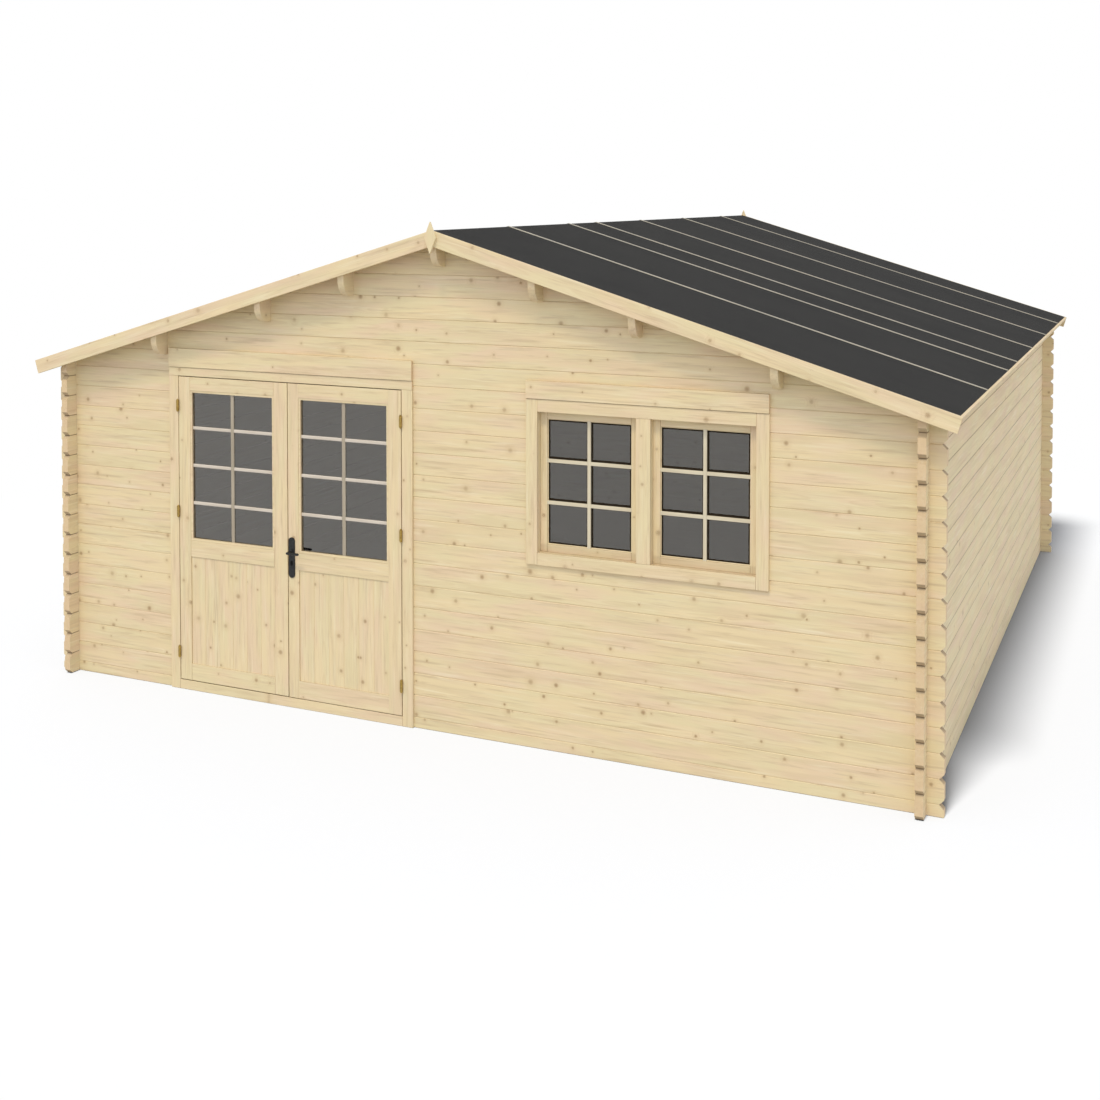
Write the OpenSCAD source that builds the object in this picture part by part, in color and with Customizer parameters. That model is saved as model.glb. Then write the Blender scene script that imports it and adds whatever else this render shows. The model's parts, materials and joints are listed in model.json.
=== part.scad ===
// Log cabin with a low gable roof, glazed double doors and one double window.
// Millimetres. X runs along the front, the front faces -Y, Z is up from the ground.

/* [Logs] */
// Thickness of a wall log
log_t = 44; // [34:1:60]
// Height of one course of logs
course = 133; // [125:1:140]
// Courses in a side wall
side_courses = 16; // [16:1:18]
// Width over the outer faces of the side walls
wall_w = 5640; // [5200:10:6600]
// Depth over the outer faces of the front and back walls
wall_d = 6070; // [5500:10:7000]
// How far the log ends stand past a corner
log_end = 90; // [60:1:110]
// Bevel on the corners of a log's end
end_bevel = 25; // [10:1:28]
// Bevel along the long edges of a log
edge_bevel = 3; // [1:0.5:8]

/* [Roof] */
// Slope of the roof in degrees
roof_slope = 16.64; // [12:0.01:24]
// Thickness of the roof boards
deck_t = 19; // [16:1:28]
// Thickness of the roofing felt
felt_t = 3; // [2:0.5:6]
// Level distance from a side wall to the roof's edge
eave_reach = 185; // [150:1:300]
// Distance from the front wall to the outer face of the barge boards
gable_reach = 136; // [110:1:300]
// Width of the battens across the felt
batten_w = 22; // [15:1:40]
// Height of the battens across the felt
batten_t = 4; // [3:1:15]
// Places of the battens along the roof
batten_y = [-2130, -1150, -640, 300, 1340, 2440]; // [-2600:10:2600]
// Thickness of the board along each eave
eave_board_t = 16; // [12:1:25]
// Height of the board along each eave
eave_board_h = 24; // [20:1:60]
// Thickness of the barge boards
barge_t = 18; // [14:1:28]
// Width of the barge boards
barge_w = 90; // [70:1:150]
// Width of the diamond board at each gable's top
finial_w = 76; // [50:1:110]
// Height of the diamond board at each gable's top
finial_h = 191; // [140:1:240]
// How far the diamond board stands over the roof's top
finial_rise = 51; // [20:1:80]

/* [Purlins] */
// Thickness of the purlins
purlin_t = 44; // [35:1:70]
// Depth of the purlins under the roof boards
purlin_h = 192; // [160:1:200]
// Distances of the side purlins from the ridge
purlin_x = [630, 1235, 2035]; // [400:5:2200]
// Rise of the rounded cut under a purlin's end
purlin_cut = 104; // [40:1:130]
// Length of the rounded cut under a purlin's end
purlin_round = 84; // [40:1:90]

/* [Door frame] */
// Centre of the doorway along the front
door_x = -1096; // [-1250:1:-1000]
// Width over the door frame's facings
door_frame_w = 1794; // [1500:1:1900]
// Height of the door frame's top
door_frame_h = 2090; // [2085:1:2100]
// Width of the facings beside the doors
facing_w = 71; // [60:1:90]
// Width of the facing over the doors
head_facing_w = 54; // [50:1:60]
// Thickness of the door and window facings
facing_t = 16; // [10:1:25]
// How far a facing laps over the ends of the logs
facing_lap = 28; // [15:1:35]
// Height of the threshold
threshold_h = 60; // [40:1:62]
// How far the stops reach in behind the doors
stop_w = 14; // [10:1:25]
// Height of the board over the door frame
door_board_h = 121; // [80:1:130]
// Thickness of the boards over the frames
lintel_t = 22; // [15:1:35]
// Clearance between the frames and the boards over them
lintel_gap = 2; // [0.5:0.5:5]

/* [Doors] */
// Thickness of a door
leaf_t = 40; // [34:1:50]
// Clearance round the doors
leaf_gap = 5; // [5:0.5:8]
// Clearance between the two doors
meeting_gap = 7; // [7:0.5:12]
// Distance from the doorway's centre to the gap between the two doors
meeting_x = 12; // [0:1:15]
// Width of a door's stiles
stile_w = 88; // [70:1:110]
// Height of a door's top rail
top_rail_h = 86; // [70:1:120]
// Height of a door's middle rail
lock_rail_h = 106; // [80:1:140]
// Height of the middle rail's underside
lock_rail_z = 870; // [800:1:880]
// Height of a door's bottom rail
bottom_rail_h = 109; // [80:1:160]
// Thickness of a door's lower panel
panel_t = 18; // [12:1:24]
// How far a door's panel is set back from its face
panel_set = 6; // [2:1:10]
// Thickness of the panes
glass_t = 6; // [4:1:16]
// Radius of a hinge's barrel
hinge_r = 9; // [7:0.5:12]
// Height of a hinge's barrel
hinge_h = 65; // [50:1:90]
// Radius of a hinge's pin
pin_r = 4; // [3:0.5:5]
// Clearance round the lever's spindle inside the door
spindle_room = 2; // [1:0.5:4]
// Clearance round a turning pin or spindle
turn_gap = 0.05; // [0.02:0.01:0.1]
// Distance from a door's foot to its lowest hinge
hinge_low = 181; // [120:1:300]
// Distance from a door's top to its highest hinge
hinge_high = 186; // [120:1:300]
// Distance from the highest hinge down to the middle one
hinge_step = 686; // [500:1:800]

/* [Handle] */
// Width of a handle plate
plate_w = 45; // [40:1:55]
// Length of a handle plate
plate_h = 253; // [200:1:280]
// Thickness of a handle plate
plate_t = 6; // [4:1:12]
// Height of a handle plate's foot
plate_z = 818; // [780:1:860]
// Distance from the door's meeting edge to the handle's axis
handle_in = 26; // [25:1:45]
// Height of the lever's axis
lever_z = 982; // [960:1:1020]
// Reach of the lever from its axis
lever_len = 76; // [60:1:140]
// Radius of the lever and its spindle
lever_r = 8; // [6:0.5:9]
// Distance from a plate to the lever's middle
lever_out = 49; // [30:1:60]

/* [Window] */
// Centre of the window along the front
window_x = 1267; // [1200:1:1350]
// Width over the window frame
window_w = 1436; // [1200:1:1500]
// Height of the window frame's underside
window_z = 1074; // [1030:1:1090]
// Height over the window frame
window_h = 957; // [860:1:990]
// Width of the window frame's members
window_member = 72; // [60:1:90]
// Width of the post between the sashes
mullion_w = 84; // [70:1:120]
// How far the sashes are set back from the frame's face
sash_set = 46; // [30:1:50]
// Width of a sash's members
sash_w = 43; // [35:1:60]
// Height of the board over the window frame
window_board_h = 104; // [70:1:110]

/* [Floor] */
// Thickness of the floor boards
floor_t = 19; // [16:1:20]
// Height of the floor bearers
bearer_h = 40; // [30:1:41]
// Width of the floor bearers
bearer_w = 45; // [35:1:70]
// Number of floor bearers
bearers = 9; // [7:1:12]

/* [Fit] */
// Clearance between pieces that are fitted together
fit = 0.3; // [0.2:0.05:0.6]

/* [Hidden] */

log_color = "#e6d2a5";
board_color = "#e9d8b0";
felt_color = "#444444";
glass_color = "#65615e";
black_color = "#1c1c1c";
brass_color = "#a8853a";
big = 20000;
$fn = 48;

// Walls
half_w = wall_w / 2;
half_d = wall_d / 2;
// The side walls reach the top of the door frame
wall_courses = max(side_courses, ceil(door_frame_h / course));
side_h = wall_courses * course;
corner_x = half_w - log_t / 2;
corner_y = half_d - log_t / 2;

// Roof: the underside of the boards meets the outer top edge of each side wall
apex_z = side_h + half_w * tan(roof_slope);
cover_t = deck_t + felt_t;
roof_end = (half_w + eave_reach - cover_t * sin(roof_slope)) / cos(roof_slope);
deck_end = roof_end - eave_board_t;
barge_y = half_d + gable_reach;
deck_y = barge_y - barge_t;
gable_courses = ceil(apex_z / course + 0.5);

// Doorway
frame_y = -half_d - facing_t;
lining_y = -half_d + log_t + facing_t;
door_out = door_frame_w / 2;
door_in = door_out - facing_w;
door_cut = door_out - facing_lap;
door_head_z = door_frame_h - head_facing_w;
door_cut_z = door_frame_h - facing_lap;
leaf_z = threshold_h + leaf_gap;
leaf_h = door_head_z - leaf_gap - leaf_z;
leaf_back = frame_y + leaf_t;
hinge_x = door_in - leaf_gap / 2;
hinge_y = frame_y - hinge_r - fit;
hinge_top = leaf_z + leaf_h - hinge_high;
hinge_z = [leaf_z + hinge_low, hinge_top - hinge_step, hinge_top];
glass_z = lock_rail_z + lock_rail_h;
handle_x = door_x + meeting_x + meeting_gap / 2 + handle_in;

// Window
window_top = window_z + window_h;
window_left = window_x - window_w / 2;
window_right = window_x + window_w / 2;
pane_w = (window_w - 2 * window_member - mullion_w) / 2;
pane_z = window_z + window_member;
pane_h = window_h - 2 * window_member;
sash_y = frame_y + sash_set;
sash_t = lining_y - sash_y;

// Courses of the front and back walls start with half a log
function course_low(i) = max(0, (i - 0.5) * course);
function course_high(i) = (i + 0.5) * course - fit;
// Height of the roof boards' underside over a place across the cabin
function deck_z(x) = apex_z - abs(x) * tan(roof_slope);
// A point on the right slope, by its distance down the slope and over the boards' underside
function on_slope(s, n) = [s * cos(roof_slope) + n * sin(roof_slope),
    apex_z - s * sin(roof_slope) + n * cos(roof_slope)];
// A layer of the right slope, cut upright at the ridge
function layer(low, high, end) = [on_slope(-low * tan(roof_slope), low), on_slope(end, low),
    on_slope(end, high), on_slope(-high * tan(roof_slope), high)];

// Width of a door and of its meeting stile: side is 1 for the right door and -1 for the left
function leaf_w(side) = door_in - leaf_gap - meeting_gap / 2 - side * meeting_x;
function meeting_stile_w(side) = stile_w - side * meeting_x;

module along_x(x0, x1) {
    translate([x0, 0, 0]) rotate([90, 0, 90]) linear_extrude(x1 - x0) children();
}

module along_y(y0, y1) {
    translate([0, y1, 0]) rotate([90, 0, 0]) linear_extrude(y1 - y0) children();
}

module box(low, high) {
    translate(low) cube(high - low);
}

module both_sides() {
    children();
    mirror([1, 0, 0]) children();
}

// A log along X, with bevelled corners at the ends that stand past a wall's corner
module log_bar(x0, x1, z0, z1, free_left, free_right) {
    left = free_left ? end_bevel : 0;
    right = free_right ? end_bevel : 0;
    foot = z1 - z0 > course / 2 ? 1 : 0;
    half = log_t / 2;
    e = edge_bevel;
    intersection() {
        along_y(-half, half) difference() {
            translate([x0, z0]) square([x1 - x0, z1 - z0]);
            for (cut = [[x0, z0, left * foot], [x0, z1, left], [x1, z0, right * foot], [x1, z1, right]])
                if (cut[2] > 0)
                    translate([cut[0], cut[1]]) rotate(45) square(cut[2] * sqrt(2), center = true);
        }
        along_x(x0, x1) polygon([[e - half, z0], [half - e, z0], [half, z0 + e], [half, z1 - e],
            [half - e, z1], [e - half, z1], [-half, z1 - e], [-half, z0 + e]]);
    }
}

// Notches above and below the middle half of a log where another crosses it
module crossing(at, middle, above) {
    half = log_t / 2 + fit;
    keep = course / 4 - fit / 2;
    box([at - half, -log_t, middle - course], [at + half, log_t, middle - keep]);
    if (above) box([at - half, -log_t, middle + keep], [at + half, log_t, middle + course]);
}

module under_roof() {
    far = half_w + log_end + eave_reach;
    along_y(-big, big) polygon([[-far, 0], [far, 0], [far, deck_z(far) - fit],
        [0, apex_z - fit], [-far, deck_z(far) - fit]]);
}

module purlin_prism(x, grow) {
    half = purlin_t / 2 + grow;
    low = deck_z(x) - purlin_h - grow;
    lift = grow - fit;
    along_y(-deck_y + fit, deck_y - fit) polygon([[x - half, low], [x + half, low],
        [x + half, deck_z(x + half) + lift], if (x == 0) [0, apex_z + lift],
        [x - half, deck_z(x - half) + lift]]);
}

module purlin_places() {
    purlin_prism(0, fit);
    both_sides() for (x = purlin_x) purlin_prism(x, fit);
}

// One course of a front or back wall, centred on its thickness
module cross_log(i, x0, x1) {
    free_left = x0 < -half_w;
    free_right = x1 > half_w;
    crosses = course_low(i) < side_h;
    difference() {
        log_bar(x0, x1, course_low(i), course_high(i), free_left, free_right);
        for (side = [-1, 1])
            if (crosses && (side < 0 ? free_left : free_right))
                crossing(side * corner_x, i * course, i < wall_courses);
    }
}

module gable_log(i) {
    difference() {
        intersection() {
            cross_log(i, -half_w - log_end, half_w + log_end);
            under_roof();
        }
        purlin_places();
    }
}

// One course of a side wall, along Y
module side_log(k) {
    top = k == wall_courses - 1 ? log_t * tan(roof_slope) + edge_bevel + fit : 0;
    middle = (k + 0.5) * course;
    difference() {
        log_bar(-half_d - log_end, half_d + log_end, k * course, (k + 1) * course - fit + top, true, true);
        for (side = [-1, 1]) crossing(side * corner_y, middle, true);
    }
}

module side_wall() {
    color(log_color) intersection() {
        for (k = [0:wall_courses - 1]) translate([corner_x, 0, 0]) rotate(90) side_log(k);
        under_roof();
    }
}

module left_wall() {
    mirror([1, 0, 0]) side_wall();
}

module right_wall() {
    side_wall();
}

beside_door = [for (i = [0:gable_courses - 1]) if (course_high(i) < door_cut_z) i];
beside_window = [for (i = beside_door)
    if (course_low(i) > window_z + facing_lap && course_high(i) < window_top - facing_lap) i];
under_window = [for (i = beside_door) if (course_low(i) <= window_z + facing_lap) i];
over_window = [for (i = beside_door) if (course_high(i) >= window_top - facing_lap) i];
over_door = [for (i = [0:gable_courses - 1]) if (course_high(i) >= door_cut_z) i];
below_gable = [for (i = [0:gable_courses - 1]) if (course_high(i) < side_h) i];
in_gable = [for (i = [0:gable_courses - 1]) if (course_high(i) >= side_h) i];
door_left = door_x - door_cut - fit;
door_right = door_x + door_cut + fit;

module front() {
    translate([0, -corner_y, 0]) children();
}

module back() {
    translate([0, corner_y, 0]) children();
}

module doorway() {
    box([door_left, -big, -fit], [door_right, big, door_cut_z + fit]);
}

module window_hole() {
    lap = facing_lap - fit;
    box([window_left + lap, -big, window_z + lap], [window_right - lap, big, window_top - lap]);
}

module front_wall_left() {
    color(log_color) front() for (i = beside_door) cross_log(i, -half_w - log_end, door_left);
}

module front_wall_below_window() {
    color(log_color) front() difference() {
        for (i = under_window) cross_log(i, door_right, half_w + log_end);
        window_hole();
    }
}

module front_wall_between() {
    color(log_color) front()
        for (i = beside_window) cross_log(i, door_right, window_left + facing_lap - fit);
}

module front_wall_right() {
    color(log_color) front()
        for (i = beside_window) cross_log(i, window_right - facing_lap + fit, half_w + log_end);
}

module front_gable() {
    color(log_color) front() difference() {
        union() {
            for (i = over_window) cross_log(i, door_right, half_w + log_end);
            for (i = over_door) gable_log(i);
        }
        doorway();
        window_hole();
    }
}

module back_wall() {
    color(log_color) back() for (i = below_gable) cross_log(i, -half_w - log_end, half_w + log_end);
}

module back_gable() {
    color(log_color) back() for (i = in_gable) gable_log(i);
}

// A purlin whose ends are rounded off underneath, outside the walls
module purlin(x) {
    low = deck_z(x) - purlin_h;
    tip = deck_y - fit;
    long = min(purlin_round, tip - half_d);
    difference() {
        purlin_prism(x, 0);
        for (end = [-1, 1])
            along_x(x - purlin_t, x + purlin_t) polygon([
                for (a = [0:15:90]) [end * (tip - long + long * cos(a)), low + purlin_cut * (1 - sin(a))],
                [end * (tip - long), low - purlin_t], [end * (tip + purlin_t), low - purlin_t],
                [end * (tip + purlin_t), low + purlin_cut]]);
    }
}

module ridge_purlin() {
    color(log_color) purlin(0);
}

module side_purlins() {
    color(log_color) both_sides() for (x = purlin_x) purlin(x);
}

module slope_layer(low, high, y0, y1) {
    along_y(y0, y1) polygon(layer(low, high, deck_end));
}

module right_roof_boards() {
    color(board_color) slope_layer(0, deck_t, -deck_y, deck_y);
}

module left_roof_boards() {
    mirror([1, 0, 0]) right_roof_boards();
}

module right_roof_felt() {
    color(felt_color) slope_layer(deck_t, cover_t, -deck_y, deck_y);
}

module left_roof_felt() {
    mirror([1, 0, 0]) right_roof_felt();
}

module felt_battens() {
    color("#a5a396") both_sides() for (y = batten_y) intersection() {
        slope_layer(cover_t, cover_t + batten_t, y - batten_w / 2, y + batten_w / 2);
        box([fit, -big, 0], [big, big, big]);
    }
}

module eave_boards() {
    inner = deck_end + fit;
    color(board_color) both_sides() along_y(-deck_y, deck_y) polygon([
        on_slope(inner, cover_t - eave_board_h), on_slope(roof_end, cover_t - eave_board_h),
        on_slope(roof_end, cover_t), on_slope(inner, cover_t)]);
}

// Two boards down the slopes that meet upright at the ridge
module barge_boards() {
    color(board_color) both_sides() intersection() {
        along_y(-barge_y, -deck_y) polygon(layer(cover_t - barge_w, cover_t, roof_end));
        box([fit / 2, -big, 0], [big, big, big]);
    }
}

module front_barge_boards() {
    barge_boards();
}

module back_barge_boards() {
    mirror([0, 1, 0]) barge_boards();
}

module finial() {
    top = on_slope(-cover_t * tan(roof_slope), cover_t)[1] + finial_rise;
    color(board_color) along_y(-barge_y - barge_t, -barge_y) polygon([[0, top],
        [finial_w / 2, top - finial_h / 2], [0, top - finial_h], [-finial_w / 2, top - finial_h / 2]]);
}

module front_finial() {
    finial();
}

module back_finial() {
    mirror([0, 1, 0]) finial();
}

// Boards of a frame member that clasps the wall: facings on both faces, a lining and a door stop.
// X runs from the opening's edge out over the wall, Y through the wall and Z along the member.
module clasp(length, width, lining_in = 0, stop = 0, stop_in = 0) {
    wall_y = -half_d + log_t;
    box([0, frame_y, 0], [width, -half_d, length]);
    box([0, wall_y, 0], [width, lining_y, length]);
    box([0, -half_d + fit, lining_in], [width - facing_lap, wall_y - fit, length - lining_in]);
    if (stop > 0) box([-stop, leaf_back + leaf_gap, stop_in], [-fit, lining_y, length - stop_in]);
}

module door_jamb() {
    translate([door_in, 0, 0]) clasp(door_head_z - fit, facing_w, stop = stop_w);
}

module door_head() {
    translate([0, 0, door_head_z]) rotate([0, -90, 0]) translate([0, 0, -door_out])
        clasp(door_frame_w, head_facing_w, facing_lap, stop_w, facing_w + stop_w + fit);
}

module door_frame() {
    color(board_color) translate([door_x, 0, 0]) {
        both_sides() door_jamb();
        door_head();
    }
}

module door_threshold() {
    front = door_in - fit;
    behind = front - stop_w;
    stop_y = leaf_back + leaf_gap - fit;
    color(board_color) translate([door_x, 0, 0]) {
        box([-front, frame_y, 0], [front, stop_y, threshold_h]);
        box([-behind, stop_y, 0], [behind, lining_y, threshold_h]);
    }
}

module door_lintel_board() {
    color(board_color) box([door_x - door_out, -half_d - lintel_t, door_frame_h + lintel_gap],
        [door_x + door_out, -half_d, door_frame_h + lintel_gap + door_board_h]);
}

// An upright of the window frame, its lining no taller than the hole in the logs
module window_post() {
    translate([window_w / 2 - window_member, 0, window_z]) clasp(window_h, window_member, facing_lap);
}

module window_rail() {
    inner = window_w / 2 - window_member - fit;
    rotate([0, -90, 0]) translate([0, 0, -inner]) clasp(2 * inner, window_member);
}

module window_frame() {
    color(board_color) translate([window_x, 0, 0]) {
        both_sides() window_post();
        translate([0, 0, window_top - window_member]) window_rail();
        translate([0, 0, window_z + window_member]) mirror([0, 0, 1]) window_rail();
        box([-mullion_w / 2, frame_y, pane_z + fit], [mullion_w / 2, lining_y, pane_z + pane_h - fit]);
    }
}

module window_lintel_board() {
    color(board_color) box([window_left, -half_d - lintel_t, window_top + lintel_gap],
        [window_right, -half_d, window_top + lintel_gap + window_board_h]);
}

// Two upright and some level members of a framed panel, each clear of the next
module members(width, z0, z1, y0, y1, first_w, last_w, levels) {
    box([0, y0, z0], [first_w, y1, z1]);
    box([width - last_w, y0, z0], [width, y1, z1]);
    for (level = levels) box([first_w + fit, y0, level[0]], [width - last_w - fit, y1, level[1]]);
}

module sash() {
    z0 = pane_z + fit;
    z1 = pane_z + pane_h - fit;
    translate([mullion_w / 2 + fit, 0, 0]) members(pane_w - 2 * fit, z0, z1, sash_y, sash_y + sash_t,
        sash_w, sash_w, [[z0, z0 + sash_w], [z1 - sash_w, z1]]);
}

module window_pane() {
    inset = sash_w + 2 * fit;
    middle = sash_y + sash_t / 2;
    box([mullion_w / 2 + inset, middle - glass_t / 2, pane_z + inset],
        [mullion_w / 2 + pane_w - inset, middle + glass_t / 2, pane_z + pane_h - inset]);
}

module right_window_sash() {
    color(board_color) translate([window_x, 0, 0]) sash();
}

module left_window_sash() {
    color(board_color) translate([window_x, 0, 0]) mirror([1, 0, 0]) sash();
}

module right_window_glass() {
    color(glass_color) translate([window_x, 0, 0]) window_pane();
}

module left_window_glass() {
    color(glass_color) translate([window_x, 0, 0]) mirror([1, 0, 0]) window_pane();
}

// A door is drawn from its meeting edge and turned over for the left one
module at_leaf(side) {
    translate([door_x, 0, 0]) mirror([side < 0 ? 1 : 0, 0, 0])
        translate([meeting_gap / 2 + side * meeting_x, 0, 0]) children();
}

module leaf_frame(side) {
    at_leaf(side) members(leaf_w(side), leaf_z, leaf_z + leaf_h, frame_y, leaf_back,
        meeting_stile_w(side), stile_w, [[leaf_z, leaf_z + bottom_rail_h], [lock_rail_z, glass_z],
            [leaf_z + leaf_h - top_rail_h, leaf_z + leaf_h]]);
}

// A sheet between the stiles, front and back faces at y0 and y1
module leaf_infill(side, y0, y1, z0, z1) {
    at_leaf(side) box([meeting_stile_w(side) + fit, y0, z0 + fit],
        [leaf_w(side) - stile_w - fit, y1, z1 - fit]);
}

module leaf_panel(side) {
    color(board_color) leaf_infill(side, frame_y + panel_set, frame_y + panel_set + panel_t,
        leaf_z + bottom_rail_h, lock_rail_z);
}

module leaf_glass(side) {
    middle = frame_y + leaf_t / 2;
    color(glass_color) leaf_infill(side, middle - glass_t / 2, middle + glass_t / 2, glass_z,
        leaf_z + leaf_h - top_rail_h);
}

module spindle(r, y0, y1) {
    translate([handle_x, y1, lever_z]) rotate([90, 0, 0]) cylinder(r = r, h = y1 - y0);
}

module right_door_frame() {
    color(board_color) difference() {
        leaf_frame(1);
        spindle(lever_r + spindle_room, frame_y - leaf_t, leaf_back + leaf_t);
    }
}

module left_door_frame() {
    color(board_color) leaf_frame(-1);
}

module right_door_panel() {
    leaf_panel(1);
}

module left_door_panel() {
    leaf_panel(-1);
}

module right_door_glass() {
    leaf_glass(1);
}

module left_door_glass() {
    leaf_glass(-1);
}

// Lower half of a hinge, with the pin that stands in the upper half
module hinge_foot(z) {
    translate([hinge_x, hinge_y, z - hinge_h / 2]) {
        cylinder(r = hinge_r, h = hinge_h / 2 - fit);
        cylinder(r = pin_r, h = hinge_h - hinge_r);
    }
}

module hinge_cap(z) {
    translate([hinge_x, hinge_y, z]) difference() {
        cylinder(r = hinge_r, h = hinge_h / 2);
        translate([0, 0, -fit]) cylinder(r = pin_r + turn_gap, h = hinge_h / 2 - hinge_r + 2 * fit);
    }
}

module frame_hinges() {
    color(brass_color) translate([door_x, 0, 0]) both_sides() for (z = hinge_z) hinge_foot(z);
}

module right_door_hinges() {
    color(brass_color) translate([door_x, 0, 0]) for (z = hinge_z) hinge_cap(z);
}

module left_door_hinges() {
    color(brass_color) translate([door_x, 0, 0]) mirror([1, 0, 0]) for (z = hinge_z) hinge_cap(z);
}

module handle_plate(y0, y1) {
    difference() {
        along_y(y0, y1) {
            translate([handle_x - plate_w / 2, plate_z + plate_w / 2]) square([plate_w, plate_h - plate_w]);
            for (z = [plate_z + plate_w / 2, plate_z + plate_h - plate_w / 2])
                translate([handle_x, z]) circle(r = plate_w / 2);
        }
        spindle(lever_r + turn_gap, y0 - plate_t, y1 + plate_t);
    }
}

module handle_plates() {
    color(black_color) {
        handle_plate(frame_y - plate_t, frame_y);
        handle_plate(leaf_back, leaf_back + plate_t);
    }
}

module lever_arm(y) {
    translate([handle_x, y, lever_z]) {
        rotate([0, 90, 0]) cylinder(r = lever_r, h = lever_len);
        translate([lever_len, 0, 0]) sphere(r = lever_r);
        sphere(r = lever_r);
    }
}

module door_lever() {
    outer = frame_y - plate_t - lever_out;
    inner = leaf_back + plate_t + lever_out;
    color(black_color) {
        spindle(lever_r, outer, inner);
        lever_arm(outer);
        lever_arm(inner);
    }
}

inside_x = half_w - log_t;
inside_y = half_d - log_t;

module floor_boards() {
    edge = facing_t + fit;
    color(board_color) box([edge - inside_x, edge - inside_y, bearer_h],
        [inside_x - edge, inside_y - edge, bearer_h + floor_t]);
}

module floor_bearers() {
    span = 2 * (inside_x - fit) - bearer_w;
    color(log_color) for (n = [0:bearers - 1])
        translate([-span / 2 + n * span / (bearers - 1), 0, 0])
            box([-bearer_w / 2, facing_t + fit - inside_y, 0], [bearer_w / 2, inside_y - fit, bearer_h]);
}

left_wall();
right_wall();
front_wall_left();
front_wall_below_window();
front_wall_between();
front_wall_right();
front_gable();
back_wall();
back_gable();
ridge_purlin();
side_purlins();
left_roof_boards();
right_roof_boards();
left_roof_felt();
right_roof_felt();
felt_battens();
eave_boards();
front_barge_boards();
back_barge_boards();
front_finial();
back_finial();
door_frame();
door_threshold();
door_lintel_board();
window_frame();
window_lintel_board();
left_window_sash();
right_window_sash();
left_window_glass();
right_window_glass();
left_door_frame();
right_door_frame();
left_door_panel();
right_door_panel();
left_door_glass();
right_door_glass();
frame_hinges();
left_door_hinges();
right_door_hinges();
handle_plates();
door_lever();
floor_boards();
floor_bearers();
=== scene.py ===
import json
import math

import bpy
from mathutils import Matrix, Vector

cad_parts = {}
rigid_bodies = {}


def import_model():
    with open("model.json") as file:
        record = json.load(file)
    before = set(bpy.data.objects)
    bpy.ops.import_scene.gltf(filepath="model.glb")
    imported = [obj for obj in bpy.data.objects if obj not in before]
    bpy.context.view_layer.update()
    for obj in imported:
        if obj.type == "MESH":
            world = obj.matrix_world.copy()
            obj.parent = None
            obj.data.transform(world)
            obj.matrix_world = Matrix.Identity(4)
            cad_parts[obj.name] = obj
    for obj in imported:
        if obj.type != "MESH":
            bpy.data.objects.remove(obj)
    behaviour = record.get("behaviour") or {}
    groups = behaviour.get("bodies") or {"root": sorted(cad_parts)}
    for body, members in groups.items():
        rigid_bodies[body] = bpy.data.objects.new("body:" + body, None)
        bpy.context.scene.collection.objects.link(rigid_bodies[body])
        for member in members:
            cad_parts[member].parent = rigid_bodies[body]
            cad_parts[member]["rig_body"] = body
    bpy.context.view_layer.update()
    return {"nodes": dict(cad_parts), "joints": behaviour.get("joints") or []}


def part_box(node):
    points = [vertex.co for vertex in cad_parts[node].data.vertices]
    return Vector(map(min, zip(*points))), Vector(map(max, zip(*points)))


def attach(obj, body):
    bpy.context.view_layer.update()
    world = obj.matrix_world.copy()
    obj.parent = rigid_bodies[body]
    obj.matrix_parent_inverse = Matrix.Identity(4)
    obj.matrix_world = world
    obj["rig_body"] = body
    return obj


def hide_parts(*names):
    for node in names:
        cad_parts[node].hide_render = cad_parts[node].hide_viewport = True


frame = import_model()
nodes = frame["nodes"]
print("cabin frame loaded:", len(nodes), "nodes")


# Small tools for working on one object at a time

def only(obj):
    bpy.ops.object.select_all(action="DESELECT")
    obj.select_set(True)
    bpy.context.view_layer.objects.active = obj
    return obj


def editAll(obj):
    only(obj)
    bpy.ops.object.mode_set(mode="EDIT")
    bpy.ops.mesh.select_all(action="SELECT")


def leaveEdit():
    bpy.ops.object.mode_set(mode="OBJECT")


def pickEdges(obj, test):  # selects the edges whose two ends pass the test, and goes back to edit mode
    bpy.ops.mesh.select_mode(type="EDGE")
    bpy.ops.mesh.select_all(action="DESELECT")
    leaveEdit()
    spots = [v.co for v in obj.data.vertices]
    for edge in obj.data.edges:
        edge.select = test(spots[edge.vertices[0]], spots[edge.vertices[1]])
    bpy.ops.object.mode_set(mode="EDIT")


def pickVerts(obj, test):
    bpy.ops.mesh.select_mode(type="VERT")
    bpy.ops.mesh.select_all(action="DESELECT")
    leaveEdit()
    for vert in obj.data.vertices:
        vert.select = test(vert.co)
    bpy.ops.object.mode_set(mode="EDIT")


def near(value, target, slack=0.0003):
    return abs(value - target) < slack


def applyAll(obj):
    only(obj)
    bpy.ops.object.transform_apply(location=True, rotation=True, scale=True)
    for step in list(obj.modifiers):
        bpy.ops.object.modifier_apply(modifier=step.name)


def block(name, low, high):
    low, high = Vector(low), Vector(high)
    bpy.ops.mesh.primitive_cube_add(size=1, location=(low + high) / 2, scale=high - low)
    made = bpy.context.object
    made.name = name
    bpy.ops.object.transform_apply(location=True, rotation=True, scale=True)
    return made


def joined(name, pieces):
    only(pieces[0])
    for piece in pieces[1:]:
        piece.select_set(True)
    bpy.ops.object.join()
    pieces[0].name = name
    pieces[0].data.name = name
    return pieces[0]


def smoothed(obj, angle):
    only(obj)
    bpy.ops.object.shade_smooth_by_angle(angle=math.radians(angle))
    return obj


easing = {"sharpFrom": 35, "smoothBelow": 20}  # degrees between two faces


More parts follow.
